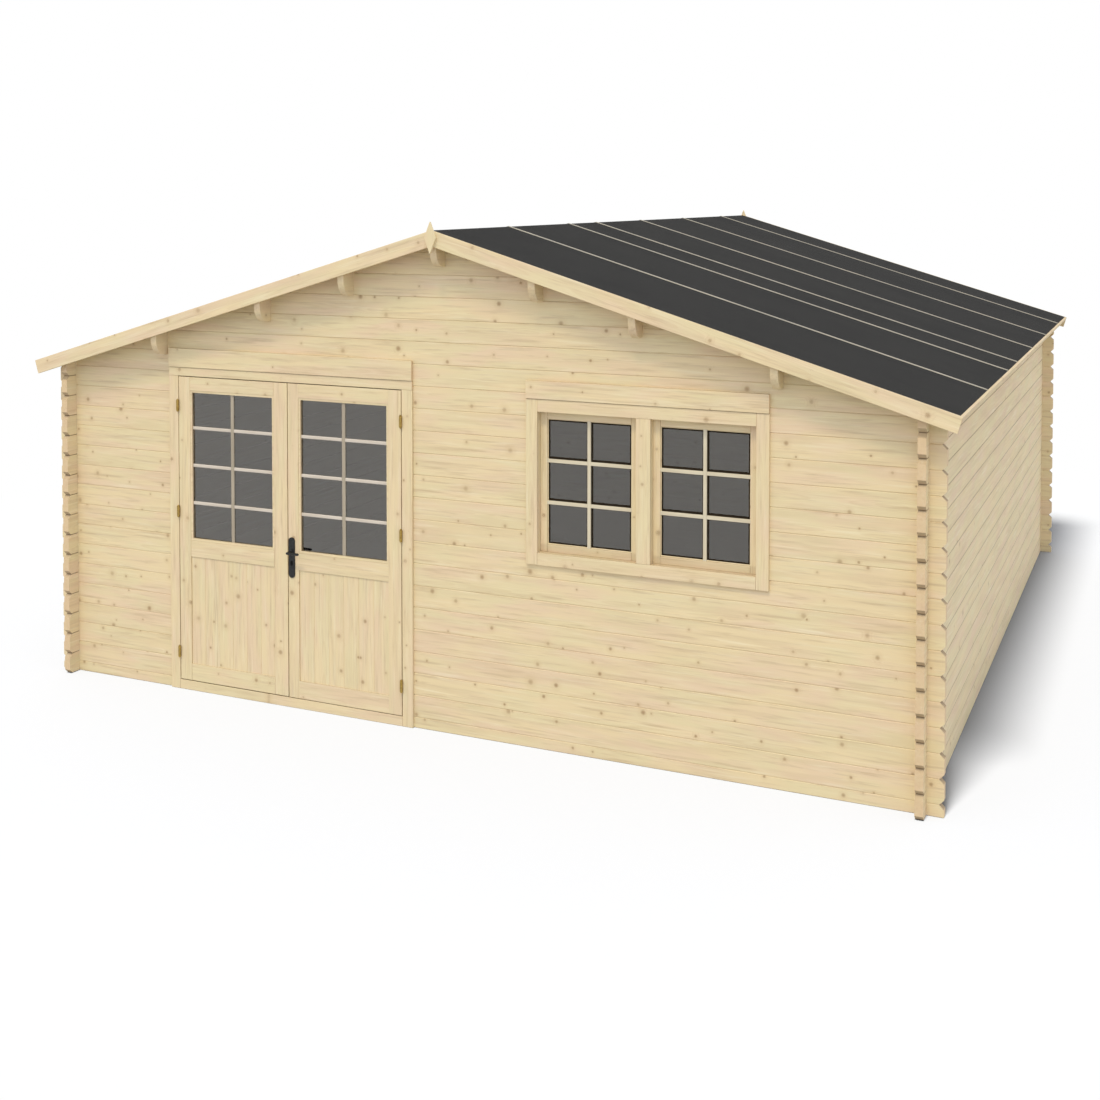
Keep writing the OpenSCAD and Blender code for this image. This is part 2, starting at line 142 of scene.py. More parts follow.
def easeEdges(obj, width, segments=2):
    step = obj.modifiers.new("ease", "BEVEL")
    step.width = width
    step.segments = segments
    step.limit_method = "ANGLE"
    step.angle_limit = math.radians(easing["sharpFrom"])
    applyAll(obj)
    return smoothed(obj, easing["smoothBelow"])


welding = {"distance": 0.00001, "flatWithin": 0.5}


def mergedCopy(nodeName, name):  # a node's own solids, welded from loose triangles into plain faces
    made = bpy.data.objects.new(name, nodes[nodeName].data.copy())
    bpy.context.scene.collection.objects.link(made)
    made.data.materials.clear()
    editAll(made)
    bpy.ops.mesh.customdata_custom_splitnormals_clear()
    bpy.ops.mesh.remove_doubles(threshold=welding["distance"])
    bpy.ops.mesh.dissolve_limited(angle_limit=math.radians(welding["flatWithin"]))
    leaveEdit()
    return made


# Every board carries its own grain: place along, across and through the board, a number and its end faces

boardCount = 0
facing = {"sideMost": 0.3, "endLeast": 0.6}  # how much of a face's normal lies along its board


def separateBoards(mesh):
    home = list(range(len(mesh.vertices)))

    def root(i):
        while home[i] != i:
            home[i] = home[home[i]]
            i = home[i]
        return i

    for edge in mesh.edges:
        home[root(edge.vertices[0])] = root(edge.vertices[1])
    boards = {}
    for i in range(len(home)):
        boards.setdefault(root(i), []).append(i)
    return boards, [root(i) for i in range(len(home))]


def layGrain(obj, along=None, endShare=1.0):
    global boardCount
    mesh = obj.data
    mesh.attributes.new("grain", "FLOAT_VECTOR", "POINT")
    mesh.attributes.new("number", "FLOAT", "POINT")
    mesh.attributes.new("ends", "FLOAT", "FACE")
    grain, number, ends = (mesh.attributes[name] for name in ("grain", "number", "ends"))
    boards, rootOf = separateBoards(mesh)
    edgesOf, facesOf = {}, {}
    for edge in mesh.edges:
        edgesOf.setdefault(rootOf[edge.vertices[0]], []).append(edge)
    for face in mesh.polygons:
        facesOf.setdefault(rootOf[face.vertices[0]], []).append(face)
    for key, verts in boards.items():
        boardCount += 1
        if along is None:
            pairs = [[mesh.vertices[i].co for i in edge.vertices] for edge in edgesOf[key]]
            run = max((b - a for a, b in pairs), key=lambda span: span.length).normalized()
            if sum(run) < 0:
                run = -run
        else:
            run = Vector(along)
        sides = [f for f in facesOf[key] if abs(f.normal.dot(run)) < facing["sideMost"]]
        through = max(sides, key=lambda f: f.area).normal.copy()
        through = (through - run * through.dot(run)).normalized()
        across = through.cross(run)
        spots = [mesh.vertices[i].co for i in verts]
        middle = sum(spots, Vector()) / len(spots)
        for i, spot in zip(verts, spots):
            off = spot - middle
            grain.data[i].vector = (off.dot(run), off.dot(across), off.dot(through))
            number.data[i].value = boardCount
        for face in facesOf[key]:
            atEnd = abs(face.normal.dot(run)) > facing["endLeast"]
            ends.data[face.index].value = endShare if atEnd else 0.0
    return obj


def fit(obj, nodeName, slot, material, *stoodFor):
    obj.data.materials.clear()
    obj.data.materials.append(material)
    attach(obj, nodes[nodeName]["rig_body"])
    if stoodFor:
        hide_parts(*stoodFor)
    return obj


# Shader maths: a Tap is one output socket, and sums on it add Math nodes

class Tap:
    def __init__(self, tree, socket=None):
        self.tree = tree
        self.socket = socket

    def node(self, kind, settings=None, sockets=None, out=0):
        made = self.tree.nodes.new("ShaderNode" + kind)
        for key, value in (settings or {}).items():
            setattr(made, key, value)
        for key, value in (sockets or {}).items():
            if isinstance(value, Tap):
                self.tree.links.new(value.socket, made.inputs[key])
            else:
                made.inputs[key].default_value = value
        return Tap(self.tree, made.outputs[out])

    def sum(self, operation, *values):
        return self.node("Math", {"operation": operation}, dict(enumerate(values)))

    def __add__(self, other):
        return self.sum("ADD", self, other)

    def __radd__(self, other):
        return self.sum("ADD", other, self)

    def __sub__(self, other):
        return self.sum("SUBTRACT", self, other)

    def __rsub__(self, other):
        return self.sum("SUBTRACT", other, self)

    def __mul__(self, other):
        return self.sum("MULTIPLY", self, other)

    def __rmul__(self, other):
        return self.sum("MULTIPLY", other, self)

    def __truediv__(self, other):
        return self.sum("DIVIDE", self, other)

    def __abs__(self):
        return self.sum("ABSOLUTE", self)

    def split(self, kind="XYZ"):
        made = self.node("Separate" + kind, sockets={0: self}).socket.node
        return [Tap(self.tree, socket) for socket in made.outputs]

    def rise(self, low, high):  # 0 below low, 1 above high, smooth between
        return self.node("MapRange", {"interpolation_type": "SMOOTHSTEP"},
                         {"Value": self, "From Min": low, "From Max": high})

    def tint(self, below, above):  # a colour between two, by this value
        return self.node("Mix", {"data_type": "RGBA"}, {0: self, 6: below, 7: above}, out=2)

    def vector(self, x, y, z):
        return self.node("CombineXYZ", sockets={0: x, 1: y, 2: z})

    def noise(self, place, scale, detail=2.0, roughness=0.5):
        return self.node("TexNoise", sockets={"Vector": place, "Scale": scale, "Detail": detail,
                                              "Roughness": roughness})


def colour(red, green, blue):
    return (red, green, blue, 1.0)


def newFinish(name):
    finish = bpy.data.materials.new(name)
    finish.use_nodes = True
    shader = finish.node_tree.nodes["Principled BSDF"]
    return finish, shader, Tap(finish.node_tree)


def feed(shader, socket, tap):
    tap.tree.links.new(tap.socket, shader.inputs[socket])


def roughen(shader, height, depth, strength):
    bump = height.node("Bump", sockets={"Height": height, "Distance": depth, "Strength": strength})
    feed(shader, "Normal", bump)


# Pine

pineLook = {
    "yellow": colour(0.82, 0.68, 0.43),
    "pink": colour(0.80, 0.63, 0.44),
    "pale": colour(0.775, 0.685, 0.43),
    "streak": colour(0.56, 0.43, 0.27),
    "bright": colour(0.90, 0.82, 0.63),
    "lateWood": colour(0.62, 0.46, 0.26),
    "halo": colour(0.62, 0.46, 0.26),
    "knot": colour(0.30, 0.175, 0.085),
    "endWood": colour(0.66, 0.46, 0.28),
    # the brown the wood is darkened towards by painted shade on upper faces, sash feet and log-end bevels,
    # and by dirt and painted shade in log joints
    "shadeAndGrime": colour(0.27, 0.195, 0.115),
    "ringGap": 0.0036,
    "knotCell": 0.19,
    "knotLeast": 0.006,
    "knotMost": 0.010,
    "knotShare": 0.75,
    "streakRun": 3.0,
    "streakShare": 0.7,
    "brightShare": 0.4,
    "bandShare": 0.24,
    "paleShare": 0.7,
    "lateWoodShare": 0.20,
    "fibreShare": 0.10,
    "haloShare": 0.28,
    "endShare": 0.55,
    "roughness": 0.6,
    "bumpDepth": 0.0005,
}


def pine(name, readGrain, look=pineLook):
    finish, shader, start = newFinish(name)
    along, across, through, number, ends, shadeAndGrime = readGrain(start)
    dice = start.node("TexWhiteNoise", {"noise_dimensions": "1D"}, {"W": number}, out="Color")
    chance = dice.split("Color")
    run = along + chance[0] * 37.0

    def drawnOut(runScale, crossScale, detail, roughness=0.5):  # noise stretched along the board
        place = start.vector(run * runScale, across * crossScale, through * crossScale)
        return start.noise(place, 1.0, detail, roughness)

    # knots, a few to each metre, with grain that swerves round them
    cell = look["knotCell"]
    place = start.vector(run / cell, across / cell + chance[1] * 23.0, 0.0)
    knots = start.node("TexVoronoi", {"voronoi_dimensions": "2D"}, {"Vector": place, "Scale": 1.0})
    cellChance = Tap(start.tree, knots.socket.node.outputs["Color"]).split("Color")
    size = look["knotLeast"] + cellChance[0] * cellChance[0] * look["knotMost"]
    there = start.sum("LESS_THAN", cellChance[1], look["knotShare"])
    ragged = start.noise(start.vector(run, across, through), 160.0, 2.0)
    away = knots * cell + (ragged - 0.5) * 0.005
    dark = 0.34 + cellChance[2] * 0.38
    core = (1.0 - away.rise(size * 0.2, size * 1.45)) * there * dark
    halo = (1.0 - away.rise(size * 0.9, size * 3.6)) * there

    # growth rings round a pith that lies off each log
    sway = drawnOut(0.7, 2.0, 3.0, 0.55) - 0.5
    drift = start.noise(start.vector(run * 0.9, across * 2.0, through * 2.0 + 9.0), 1.0, 2.0) - 0.5
    offA = across - (chance[1] - 0.5) * 0.09 + sway * 0.05
    offB = through - 0.02 - chance[2] * 0.07 + drift * 0.05
    radius = start.sum("SQRT", offA * offA + offB * offB) + halo * 0.006
    ring = start.sum("FRACT", radius / look["ringGap"])
    lateWood = ring.rise(0.35, 0.9) * (1.0 - ring.rise(0.92, 1.0))

    # long streaks, fine fibres and broad changes of tone
    streaks = drawnOut(look["streakRun"], 58.0, 3.0, 0.6).rise(0.5, 0.78)
    bright = start.noise(start.vector(run * 2.6 + 7.0, across * 48.0, through * 48.0), 1.0, 3.0, 0.6)
    bands = drawnOut(1.9, 24.0, 3.0, 0.55).rise(0.42, 0.70)
    fibres = drawnOut(5.0, 320.0, 2.0, 0.6)
    broad = drawnOut(2.1, 9.0, 2.0)
    other = start.noise(start.vector(run * 2.6, across * 11.0 + 40.0, through * 11.0), 1.0, 2.0)
    warm = (broad + (chance[1] - 0.5) * 0.12).rise(0.36, 0.66)
    light = (other + (chance[2] - 0.5) * 0.12).rise(0.40, 0.66)

    wood = warm.tint(look["yellow"], look["pink"])
    wood = (light * look["paleShare"]).tint(wood, look["pale"])
    wood = (bands * look["bandShare"]).tint(wood, look["streak"])
    wood = (bright.rise(0.5, 0.78) * look["brightShare"]).tint(wood, look["bright"])
    wood = (streaks * look["streakShare"]).tint(wood, look["streak"])
    wood = (lateWood * look["lateWoodShare"]).tint(wood, look["lateWood"])
    wood = (fibres.rise(0.4, 0.8) * look["fibreShare"]).tint(wood, look["streak"])
    wood = (halo * look["haloShare"]).tint(wood, look["halo"])
    wood = (ends * look["endShare"]).tint(wood, look["endWood"])
    wood = core.tint(wood, look["knot"])
    # painted shade, with dirt in the log joints: the mask from readGrain darkens the wood towards this brown
    wood = shadeAndGrime.tint(wood, look["shadeAndGrime"])
    feed(shader, "Base Color", wood)
    feed(shader, "Roughness", look["roughness"] + fibres * 0.12 - core * 0.12 + lateWood * 0.04)
    roughen(shader, fibres * 0.6 + lateWood * 0.5 + core * 0.8, look["bumpDepth"], 0.35)
    shader.inputs["Specular IOR Level"].default_value = 0.3
    return finish


def boardGrain(start):
    grain = start.node("Attribute", {"attribute_name": "grain"}, out="Vector").split()
    number = start.node("Attribute", {"attribute_name": "number"}, out="Fac")
    ends = start.node("Attribute", {"attribute_name": "ends"}, out="Fac")
    return grain[0], grain[1], grain[2], number, ends


def shadedTopsAndFoot(topShade, footShade=0.0, footHeight=0.0):
    # boards whose upper faces, and whatever lies below a height, are drawn darker as painted shade
    def read(start):
        up = start.node("TexCoord", out="Normal").split()[2]
        height = start.node("TexCoord", out="Object").split()[2]
        foot = 1.0 - height.rise(footHeight - 0.01, footHeight + 0.01)
        return (*boardGrain(start), up.rise(0.5, 0.9) * topShade + foot * footShade)
    return read


# how much painted shade darkens the upper faces of planed boards and floor boards, and the sash below its
# glass
paintedShade = {"top": 0.42, "floorTop": 0.15, "sashFoot": 0.24}

# step is the height of a course or the space between bearers, and middle lies halfway through the timber;
# the last two values say how dark the joints are drawn, as dirt and painted shade in the V between logs, and
# how dark the sawn bevels of the log ends are drawn, as painted shade
logRows = {
    "front": {"alongAxis": 0, "acrossAxis": 2, "throughAxis": 1, "step": 0.133, "shift": 0.5,
              "middle": 3.013, "jointDirtAndShade": 0.06, "sawnBevelShade": 0.7},
    "side": {"alongAxis": 1, "acrossAxis": 2, "throughAxis": 0, "step": 0.133, "shift": 0.0,
             "middle": 2.798, "jointDirtAndShade": 0.8, "sawnBevelShade": 0.4},
    "bearers": {"alongAxis": 1, "acrossAxis": 0, "throughAxis": 2, "step": 0.3, "shift": 0.5,
                "middle": 0.02, "jointDirtAndShade": 0.0, "sawnBevelShade": 0.0},
    "jointFrom": 0.0045,
    "jointTo": 0.001,
}


def logGrain(alongAxis, acrossAxis, throughAxis, step, shift, middle, jointDirtAndShade, sawnBevelShade):
    def read(start):
        spot = start.node("TexCoord", out="Object").split()
        normal = start.node("TexCoord", out="Normal").split()
        level = spot[acrossAxis] / step + shift
        course = start.sum("FLOOR", level)
        across = (level - course - 0.5) * step
        through = abs(spot[throughAxis]) - middle
        farSide = start.sum("GREATER_THAN", spot[throughAxis], 0.0)
        number = course + farSide * 60.0 + 300.0  # every log's own, on the far wall too
        endwise, upright = abs(normal[alongAxis]), abs(normal[acrossAxis])
        bevel = endwise.rise(0.5, 0.65) * upright.rise(0.5, 0.65)
        atJoint = abs(across).rise(step / 2 - logRows["jointFrom"], step / 2 - logRows["jointTo"])
        # painted shade: the joints drawn darker, as dirt and shade in the V, and the sawn bevels of the log
        # ends drawn darker as shade
        shadeAndGrime = atJoint * jointDirtAndShade + bevel * sawnBevelShade
        return spot[alongAxis], across, through, number, endwise.rise(0.5, 0.8), shadeAndGrime
    return read


sideLook = {**pineLook, "knotShare": 0.3, "streakRun": 1.1, "streakShare": 0.5, "brightShare": 0.6}
frontLogs = pine("pineFrontLogs", logGrain(**logRows["front"]))
sideLogs = pine("pineSideLogs", logGrain(**logRows["side"]), sideLook)
bearerTimber = pine("pineBearers", logGrain(**logRows["bearers"]))
# the planed boards, the floor and the sashes carry painted shade on their upper faces, and the sashes also
# below the glass
planedPine = pine("pinePlaned", shadedTopsAndFoot(paintedShade["top"]))
floorPine = pine("pineFloor", shadedTopsAndFoot(paintedShade["floorTop"]))
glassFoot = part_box("left_window_glass")[0].z
sashPine = pine("pineSash", shadedTopsAndFoot(paintedShade["top"], paintedShade["sashFoot"], glassFoot))
print("pine ready")


# Roofing felt, battens, glass and fittings

feltLook = {
    "darkGrit": colour(0.019, 0.019, 0.0194),
    "paleGrit": colour(0.040, 0.040, 0.0393),
    "speck": colour(0.080, 0.078, 0.0752),
    "cloud": colour(0.023, 0.0234, 0.0242),
    "run": colour(0.047, 0.046, 0.0443),
    "gloss": 0.04,
}


def roofingFelt():
    finish, shader, start = newFinish("mineralFelt")
    spot = start.node("TexCoord", out="Object")
    grit = start.noise(spot, 900.0, 2.0, 0.7)
    cells = start.node("TexVoronoi", sockets={"Vector": spot, "Scale": 620.0}, out="Color")
    specks = cells.split("Color")[0]
    cloud = start.noise(spot, 2.2, 4.0, 0.6)
    down, along, _ = spot.split()
    runs = start.noise(start.vector(down * 0.6, along * 14.0, 0.0), 1.0, 3.0)
    stone = grit.rise(0.3, 0.7).tint(feltLook["darkGrit"], feltLook["paleGrit"])
    stone = (specks.rise(0.82, 0.95) * 0.5).tint(stone, feltLook["speck"])
    stone = (cloud.rise(0.4, 0.7) * 0.35).tint(stone, feltLook["cloud"])
    stone = (runs.rise(0.5, 0.75) * 0.22).tint(stone, feltLook["run"])
    feed(shader, "Base Color", stone)
    feed(shader, "Roughness", 0.86 + grit * 0.12)
    roughen(shader, grit + specks * 0.4, 0.0012, 0.5)
    shader.inputs["Specular IOR Level"].default_value = feltLook["gloss"]
    return finish


battenLook = {
    "pale": colour(0.46, 0.42, 0.34),
    "grey": colour(0.36, 0.34, 0.29),
    "fibre": colour(0.24, 0.22, 0.18),
}


def greyBattens():
    finish, shader, start = newFinish("weatheredBatten")
    along, across, through, number, _ = boardGrain(start)
    fibres = start.noise(start.vector(along * 6.0, across * 260.0, through * 260.0), 1.0, 3.0, 0.6)
    patches = start.noise(start.vector(along * 1.3 + number * 5.0, across * 20.0, through), 1.0, 3.0)
    wood = patches.rise(0.35, 0.7).tint(battenLook["pale"], battenLook["grey"])
    wood = (fibres.rise(0.45, 0.75) * 0.4).tint(wood, battenLook["fibre"])
    feed(shader, "Base Color", wood)
    feed(shader, "Roughness", 0.72 + fibres * 0.2)
    roughen(shader, fibres, 0.0006, 0.5)
    return finish


glassLook = {
    "clear": colour(0.50, 0.50, 0.48),
    "hazy": colour(0.58, 0.575, 0.555),
    "gleam": colour(1.0, 0.965, 0.92),
    "windowBend": 1.8,
    "doorBend": 1.87,
}


def clearGlass(name, bend):
    finish, shader, start = newFinish(name)
    spot = start.node("TexCoord", out="Object")
    haze = start.noise(spot, 3.0, 3.0, 0.6)
    wave = start.noise(spot, 1.6, 1.0)
    feed(shader, "Base Color", haze.tint(glassLook["clear"], glassLook["hazy"]))
    feed(shader, "Roughness", 0.015 + haze.rise(0.5, 0.9) * 0.03)
    roughen(shader, wave, 0.002, 0.05)
    shader.inputs["Transmission Weight"].default_value = 1.0
    shader.inputs["IOR"].default_value = bend
    shader.inputs["Specular Tint"].default_value = glassLook["gleam"]
    return finish


fittingLook = {
    "plate": {"dark": colour(0.012, 0.012, 0.013), "rubbed": colour(0.028, 0.028, 0.030),
              "metal": 0.4, "gloss": 0.5},
    "lock": {"dark": colour(0.004, 0.004, 0.004), "rubbed": colour(0.007, 0.0065, 0.006),
             "metal": 0.0, "gloss": 0.1},
}


def blackFittings(name, dark, rubbed, metal, gloss):
    finish, shader, start = newFinish(name)
    spot = start.node("TexCoord", out="Object")
    grain = start.noise(spot, 1400.0, 2.0)
    rub = start.noise(spot, 60.0, 3.0)
    feed(shader, "Base Color", rub.rise(0.35, 0.75).tint(dark, rubbed))
    feed(shader, "Roughness", 0.34 + grain * 0.12 + rub * 0.08)
    roughen(shader, grain, 0.0002, 0.4)
    shader.inputs["Metallic"].default_value = metal
    shader.inputs["Specular IOR Level"].default_value = gloss
    return finish


brassLook = {"bright": colour(0.46, 0.32, 0.095), "dull": colour(0.25, 0.165, 0.05)}


def brassHinge():
    finish, shader, start = newFinish("hingeBrass")
    spot = start.node("TexCoord", out="Object")
    dull = start.noise(spot, 90.0, 4.0, 0.65)
    x, y, z = spot.split()
    scratch = start.noise(start.vector(x * 900.0, y * 900.0, z * 60.0), 1.0)
    metal = dull.rise(0.4, 0.7).tint(brassLook["bright"], brassLook["dull"])
    feed(shader, "Base Color", metal)
    feed(shader, "Roughness", 0.26 + dull * 0.25 + scratch * 0.08)
    roughen(shader, scratch, 0.0002, 0.25)
    shader.inputs["Metallic"].default_value = 1.0
    return finish


barLook = {
    # the door's level bars and uprights are one painted bar: level is paler as a painted highlight, upright
    # greyer as painted shade
    "level": {"pale": colour(0.665, 0.605, 0.53), "dark": colour(0.585, 0.52, 0.44)},
    "window": {"pale": colour(0.70, 0.635, 0.487), "dark": colour(0.615, 0.545, 0.405)},
    "upright": {"pale": colour(0.44, 0.385, 0.30), "dark": colour(0.37, 0.32, 0.245)},
    # near-black strips on the window glass, beside the bars and round the pane: painted shade
    "shadeStrip": {"pale": colour(0.024, 0.016, 0.008), "dark": colour(0.015, 0.010, 0.005), "gloss": 0.1},
}


def barFinish(name, pale, dark, gloss=0.4):
    finish, shader, start = newFinish(name)
    along, across, through, number, _ = boardGrain(start)
    fine = start.vector(along * 6.0 + number * 3.0, across * 240.0, through * 240.0)
    fibres = start.noise(fine, 1.0, 3.0, 0.6)
    coarse = start.vector(along * 4.0 + number * 7.0, across * 30.0, through * 30.0)
    soft = start.noise(coarse, 1.0, 2.0)
    paint = soft.rise(0.3, 0.75).tint(pale, dark)
    paint = (fibres.rise(0.45, 0.8) * 0.25).tint(paint, dark)
    feed(shader, "Base Color", paint)
    feed(shader, "Roughness", 0.5 + fibres * 0.15)
    roughen(shader, fibres, 0.0003, 0.3)
    shader.inputs["Specular IOR Level"].default_value = gloss
    return finish


# the door's level bars and uprights are lit and shaded copies of one paint: painted highlight and painted
# shade
litLevelBar = barFinish("litPaleBar", **barLook["level"])
windowBar = barFinish("creamPaintedBar", **barLook["window"])
shadedUprightBar = barFinish("shadedGreyBar", **barLook["upright"])
# the dark strips on the window glass stand in for shade: painted shade
shadeStripFinish = barFinish("darkShadeStrip", **barLook["shadeStrip"])
felt = roofingFelt()
batten = greyBattens()
windowGlass = clearGlass("windowGlass", glassLook["windowBend"])
doorGlass = clearGlass("doorGlass", glassLook["doorBend"])
blackMetal = blackFittings("blackFitting", **fittingLook["plate"])
lockMetal = blackFittings("lockBlack", **fittingLook["lock"])
brass = brassHinge()

cadFinish = {
    frontLogs: ["front_wall_left", "front_wall_below_window", "front_wall_between", "front_wall_right",
                "front_gable", "back_wall", "back_gable"],
    sideLogs: ["left_wall", "right_wall"],
    bearerTimber: ["floor_bearers"],
    felt: ["left_roof_felt", "right_roof_felt"],
    windowGlass: ["left_window_glass", "right_window_glass"],
    doorGlass: ["left_door_glass", "right_door_glass"],
    blackMetal: ["door_lever"],
    brass: ["frame_hinges", "left_door_hinges", "right_door_hinges"],
}
for finish, names in cadFinish.items():
    for nodeName in names:
        nodes[nodeName].material_slots[0].material = finish
print("finishes on the plain nodes")


# Planed boards with eased edges in place of the square ones

planed = {
    "arris": 0.0025,
    "battenArris": 0.001,
    "purlinEnds": 0.2,  # how much of the end grain's colour shows
    "boards": ["eave_boards", "front_barge_boards", "back_barge_boards", "door_frame", "door_threshold",
               "door_lintel_board", "window_frame", "window_lintel_board", "left_door_frame",
               "right_door_frame"],
    "sashes": ["left_window_sash", "right_window_sash"],
    "purlins": ["ridge_purlin", "side_purlins"],
    "finials": ["front_finial", "back_finial"],
}


def planedBoards(nodeName, arris, along=None, endShare=1.0):
    piece = mergedCopy(nodeName, nodeName + "_planed")
    easeEdges(piece, arris)
    return layGrain(piece, along, endShare)


for nodeName in planed["boards"]:
    fit(planedBoards(nodeName, planed["arris"]), nodeName, "pine_boards", planedPine, nodeName)
for nodeName in planed["sashes"]:
    fit(planedBoards(nodeName, planed["arris"]), nodeName, "pine_boards", sashPine, nodeName)
for nodeName in planed["purlins"]:
    piece = planedBoards(nodeName, planed["arris"], (0, 1, 0), planed["purlinEnds"])
    fit(piece, nodeName, "pine_logs", planedPine, nodeName)
for nodeName in planed["finials"]:
    fit(planedBoards(nodeName, planed["arris"], (0, 0, 1)), nodeName, "pine_boards", planedPine, nodeName)
battens = planedBoards("felt_battens", planed["battenArris"])
fit(battens, "felt_battens", "grey_battens", batten, "felt_battens")
print("planed boards done")


# Roof, floor and door panels made up of tongued boards with a small V at each joint

boarding = {
    "left_roof_boards": {"axis": 1, "count": 65, "groove": 0.004},
    "right_roof_boards": {"axis": 1, "count": 65, "groove": 0.004},
    "floor_boards": {"axis": 1, "count": 52, "groove": 0.002},
    "left_door_panel": {"axis": 0, "count": 6, "groove": 0.002},
    "right_door_panel": {"axis": 0, "count": 6, "groove": 0.002},
}


def boarded(nodeName, axis, count, groove):
    low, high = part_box(nodeName)
    step = (high[axis] - low[axis]) / count
    piece = mergedCopy(nodeName, nodeName + "_tongued")
    way = Vector((0, 0, 0))
    way[axis] = 1
    editAll(piece)
    cut = low + way * step
    bpy.ops.mesh.bisect(plane_co=cut, plane_no=way, use_fill=True, clear_outer=True)

    def atJoint(a, b):
        onEdge = [near(a[axis], edge) and near(b[axis], edge) for edge in (low[axis], cut[axis])]
        return any(onEdge) and (a - b).length > step
    pickEdges(piece, atJoint)
    bpy.ops.mesh.bevel(offset=groove, segments=1, affect="EDGES")
    leaveEdit()
    row = piece.modifiers.new("row", "ARRAY")
    row.count = count
    row.use_relative_offset = False
    row.use_constant_offset = True
    row.constant_offset_displace = way * step
    row.use_merge_vertices = False
    applyAll(piece)
    return layGrain(piece)


for nodeName, plan in boarding.items():
    slot, finish = "pine_boards", planedPine
    if nodeName == "floor_boards":
        slot, finish = "floor_timber", floorPine
    fit(boarded(nodeName, **plan), nodeName, slot, finish, nodeName)
print("tongued boards done")


# Glazing: mitred beads round each pane, bars on both faces, and dark strips and a dark rim under and beside
# the window's outer bars as painted shade

glazing = {
    "door": {"columns": 2, "rows": 4, "bead": {"width": 0.014, "rise": 0.0155, "slope": 0.002},
             "bar": {"level": 0.021, "upright": 0.025, "rise": 0.006, "chamfer": 0.004}},
    "window": {"columns": 2, "rows": 3, "bead": {"width": 0.005, "rise": 0.006, "slope": 0.003},
               "bar": {"level": 0.021, "upright": 0.021, "rise": 0.0085, "chamfer": 0.002},
               # dark strips under the window's outer bars, wider to the right and above, and a dark rim
               # round the pane: painted shade
               "shadeStrip": {"rise": 0.0015, "left": 0.006, "right": 0.011, "below": 0.003, "above": 0.013,
                          "rim": 0.013, "arris": 0.0004}},
}


def beadRing(name, low, high, side, width, rise, slope, arris=0.0012):
    # side is -1 for the outer face of the pane and 1 for the inner one
    seat = low.y if side < 0 else high.y
    middle = Vector(((low.x + high.x) / 2, seat, (low.z + high.z) / 2))
    bpy.ops.mesh.primitive_plane_add(size=1, location=middle, rotation=(math.pi / 2, 0, 0))
    ring = bpy.context.object
    ring.name = name
    ring.scale = (high.x - low.x, high.z - low.z, 1)
    bpy.ops.object.transform_apply(location=True, rotation=True, scale=True)
    editAll(ring)
    bpy.ops.mesh.inset(thickness=width, depth=0)
    bpy.ops.mesh.delete(type="FACE")
    bpy.ops.mesh.select_all(action="SELECT")
    bpy.ops.mesh.extrude_region_move(TRANSFORM_OT_translate={"value": (0, side * rise, 0)})
    inX = (high.x - low.x) / 2 - width / 2
    inZ = (high.z - low.z) / 2 - width / 2
    front = seat + side * rise

    def innerFront(co):
        return near(co.y, front) and near(co.x, middle.x, inX) and near(co.z, middle.z, inZ)
    pickVerts(ring, innerFront)
    bpy.ops.transform.translate(value=(0, -side * slope, 0))
    bpy.ops.mesh.select_all(action="SELECT")
    bpy.ops.mesh.normals_make_consistent(inside=False)
    leaveEdit()
    return easeEdges(ring, arris, 1)


def glazingBar(name, low, high, side, chamfer):
    bar = block(name, low, high)
    front = low[1] if side < 0 else high[1]
    half = max(high[0] - low[0], high[2] - low[2]) / 2
    editAll(bar)
    pickEdges(bar, lambda a, b: near(a.y, front) and near(b.y, front) and (a - b).length > half)
    bpy.ops.mesh.bevel(offset=chamfer, segments=2, affect="EDGES")
    leaveEdit()
    return bar


noMargin = {"left": 0.0, "right": 0.0, "below": 0.0, "above": 0.0}


def barSet(low, high, seat, rise, side, plan, chamfer, margin=noMargin):
    # uprights run the full height, level bars fit between them
    lowY, highY = sorted((seat, seat + side * rise))
    leftOf, rightOf = (plan["bar"]["upright"] / 2 + margin[way] for way in ("left", "right"))
    under, over = (plan["bar"]["level"] / 2 + margin[way] for way in ("below", "above"))
    columnX = [low.x + (high.x - low.x) * n / plan["columns"] for n in range(plan["columns"] + 1)]
    rowZ = [low.z + (high.z - low.z) * n / plan["rows"] for n in range(plan["rows"] + 1)]
    uprights = [glazingBar("upright", (x - leftOf, lowY, low.z), (x + rightOf, highY, high.z), side, chamfer)
                for x in columnX[1:-1]]
    levels = []
    for z in rowZ[1:-1]:
        for n in range(plan["columns"]):
            left = columnX[n] + (rightOf if n else 0)
            right = columnX[n + 1] - (leftOf if n < plan["columns"] - 1 else 0)
            corners = (left, lowY, z - under), (right, highY, z + over)
            levels.append(glazingBar("level", *corners, side, chamfer))
    return uprights, levels


